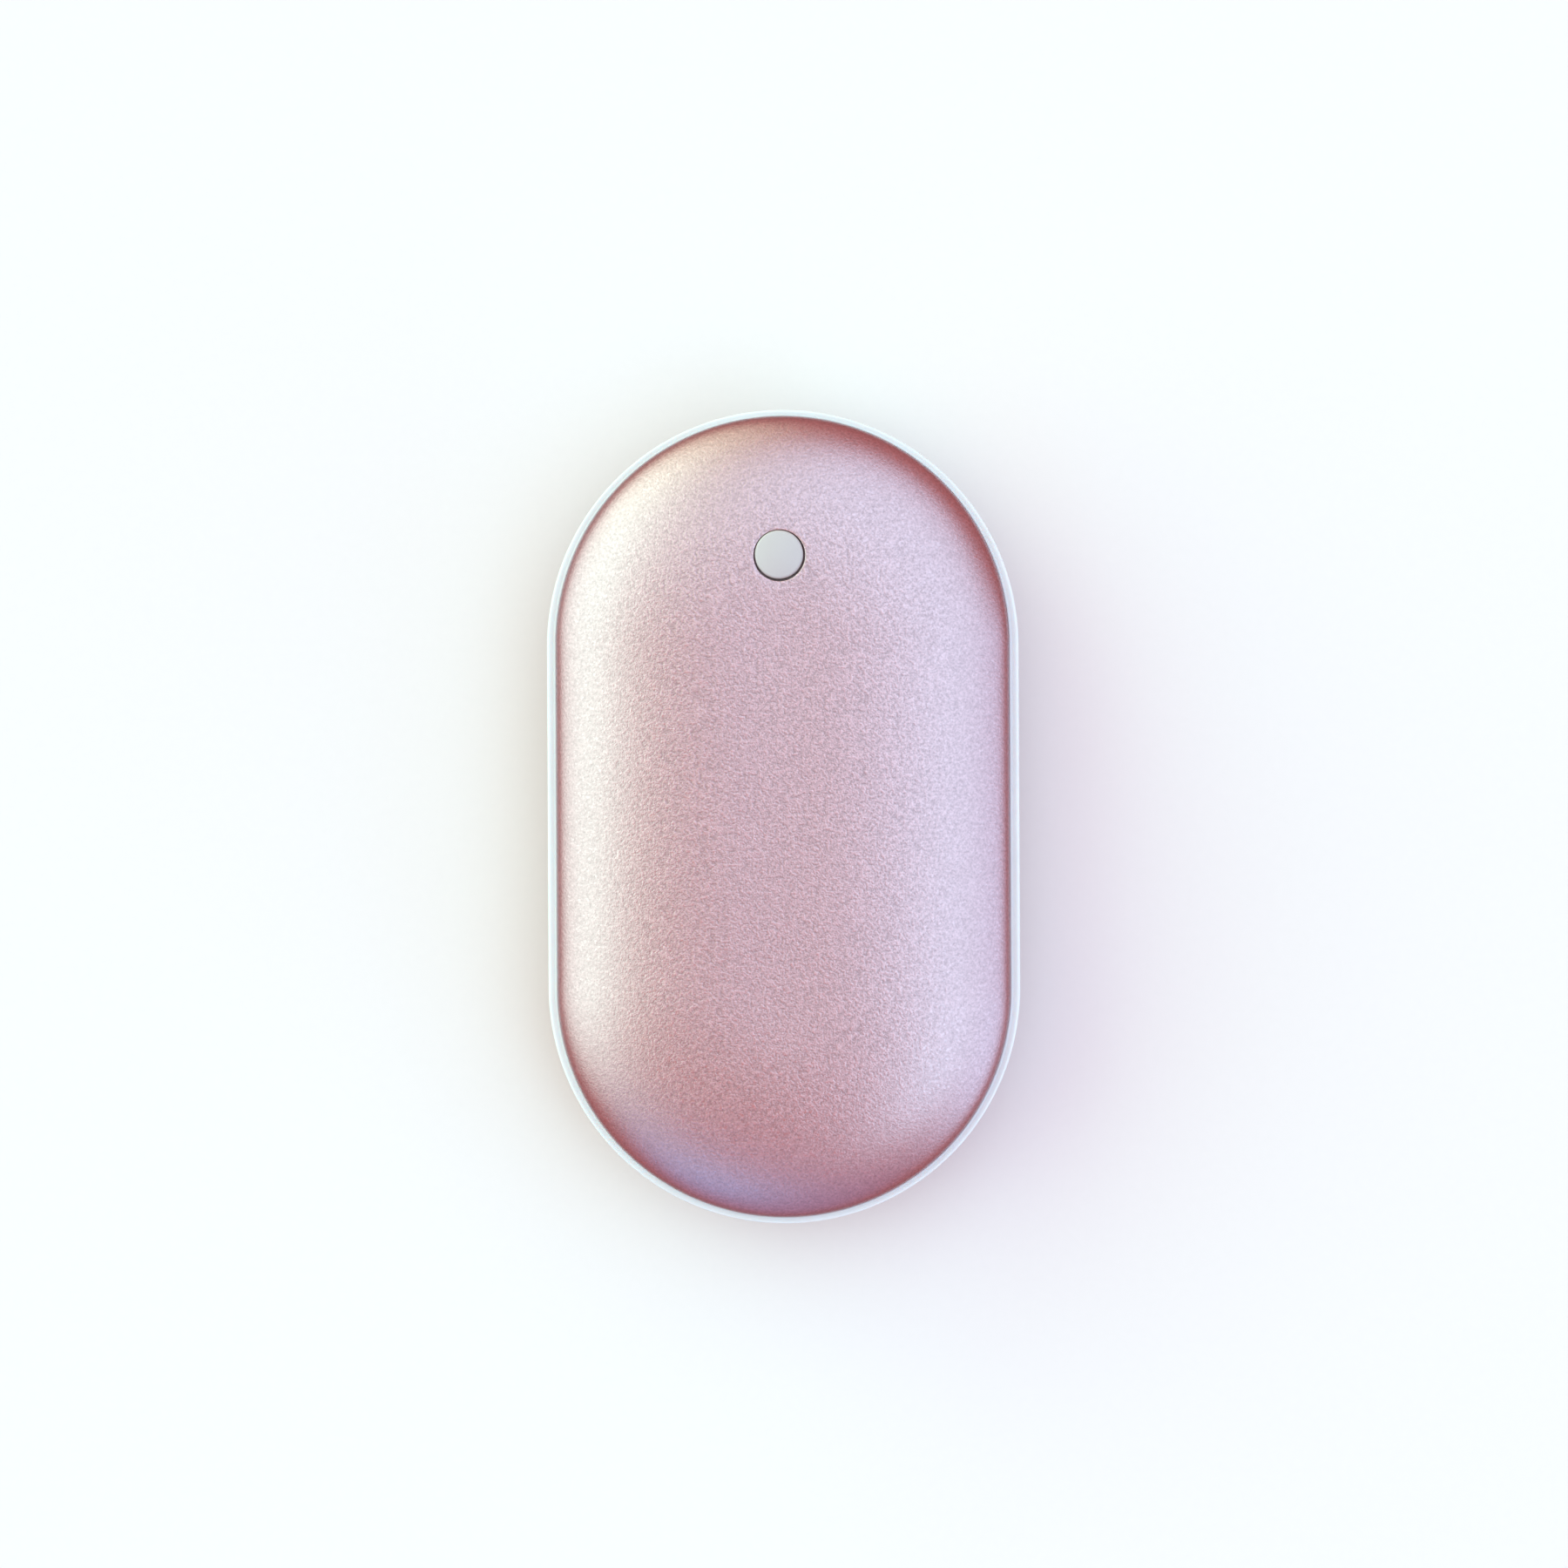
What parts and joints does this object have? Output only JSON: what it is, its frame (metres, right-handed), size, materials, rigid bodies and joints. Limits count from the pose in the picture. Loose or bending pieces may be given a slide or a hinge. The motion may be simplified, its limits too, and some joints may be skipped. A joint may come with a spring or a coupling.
{
  "type": "rechargeable hand warmer",
  "caption": "Pebble-shaped pocket hand warmer: two domed metal shells on a white frame, heater films, cells, board, sockets and a push button.",
  "frame": {"origin": "under the middle of the body, on the surface that the back shell lies on", "axes": "+Z out through the front, +Y towards the button's end, +X to the right seen from the front"},
  "size_m": [0.058, 0.1, 0.0242],
  "materials": {
    "rose_shell": "bead-blasted, rose-gold anodised, satin with a fine sparkle",
    "frame_white": "satin moulded white ABS",
    "button_white": "satin moulded white ABS",
    "bond": "pressure-sensitive bond ring",
    "chassis_white": "plain moulded ABS",
    "screw_steel": "zinc plated",
    "cell_sleeve": "shrink sleeve over a cell can",
    "nickel": "bare nickel strip",
    "paper_card": "insulating card",
    "heater_film": "amber polyimide film with an etched track",
    "foam": "closed-cell foam",
    "cutoff_body": "moulded resin",
    "board_green": "solder mask on glass laminate",
    "chip_black": "moulded resin",
    "coil_grey": "ferrite drum",
    "cap_tan": "fired ceramic",
    "lamp_resin": "clear resin over a phosphor",
    "pipe_clear": "clear moulded acrylic with a frosted bar",
    "socket_steel": "tin-plated sheet steel",
    "tongue_white": "moulded nylon",
    "tongue_black": "moulded nylon",
    "contact_gold": "gold flash over bronze",
    "switch_black": "moulded nylon",
    "switch_steel": "stamped steel",
    "wire_red": "silicone insulation",
    "wire_black": "silicone insulation",
    "wire_white": "silicone insulation",
    "wire_yellow": "silicone insulation"
  },
  "bodies": {
    "body": {"front_shell": "rose_shell", "back_shell": "rose_shell", "middle_frame": "frame_white", "front_bond_ring": "bond", "back_bond_ring": "bond", "switch_body": "switch_black", "switch_cover": "switch_steel", "switch_snap_disc": "switch_steel", "inner_chassis": "chassis_white", "chassis_screws": "screw_steel", "left_cell": "cell_sleeve", "right_cell": "cell_sleeve", "cell_positive_caps": "nickel", "cell_insulator_rings": "paper_card", "positive_strip": "nickel", "negative_strip": "nickel", "insulator_card": "paper_card", "front_heater_film": "heater_film", "back_heater_film": "heater_film", "front_foam_pads": "foam", "back_foam_pads": "foam", "thermal_cutoff": "cutoff_body", "circuit_board": "board_green", "board_screws": "screw_steel", "charge_chip": "chip_black", "boost_inductor": "coil_grey", "board_capacitors": "cap_tan", "heater_transistors": "chip_black", "indicator_lamps": "lamp_resin", "light_pipe": "pipe_clear", "usb_a_shell": "socket_steel", "usb_a_tongue": "tongue_white", "usb_a_contacts": "contact_gold", "micro_usb_shell": "socket_steel", "micro_usb_tongue": "tongue_black", "micro_usb_contacts": "contact_gold", "positive_lead": "wire_red", "negative_lead": "wire_black", "front_heater_leads": "wire_white", "back_heater_leads": "wire_white", "cutoff_leads": "wire_yellow"},
    "power_button": {"power_button": "button_white"},
    "switch_plunger": {"switch_plunger": "switch_black"}
  },
  "joints": [
    {"name": "power_button_press", "type": "slide", "parent": "body", "child": "power_button", "axis": [0, 0, -1], "range_m": [0, 0.0003], "stiffness_N_per_m": 5000},
    {"name": "switch_plunger_press", "type": "slide", "parent": "body", "child": "switch_plunger", "axis": [0, 0, -1], "range_m": [0, 0.0003], "stiffness_N_per_m": 0.02, "springref_m": -0.0055}
  ],
  "couplings": [
    {"joint": "switch_plunger_press", "follows": "power_button_press", "ratio": 1}
  ]
}
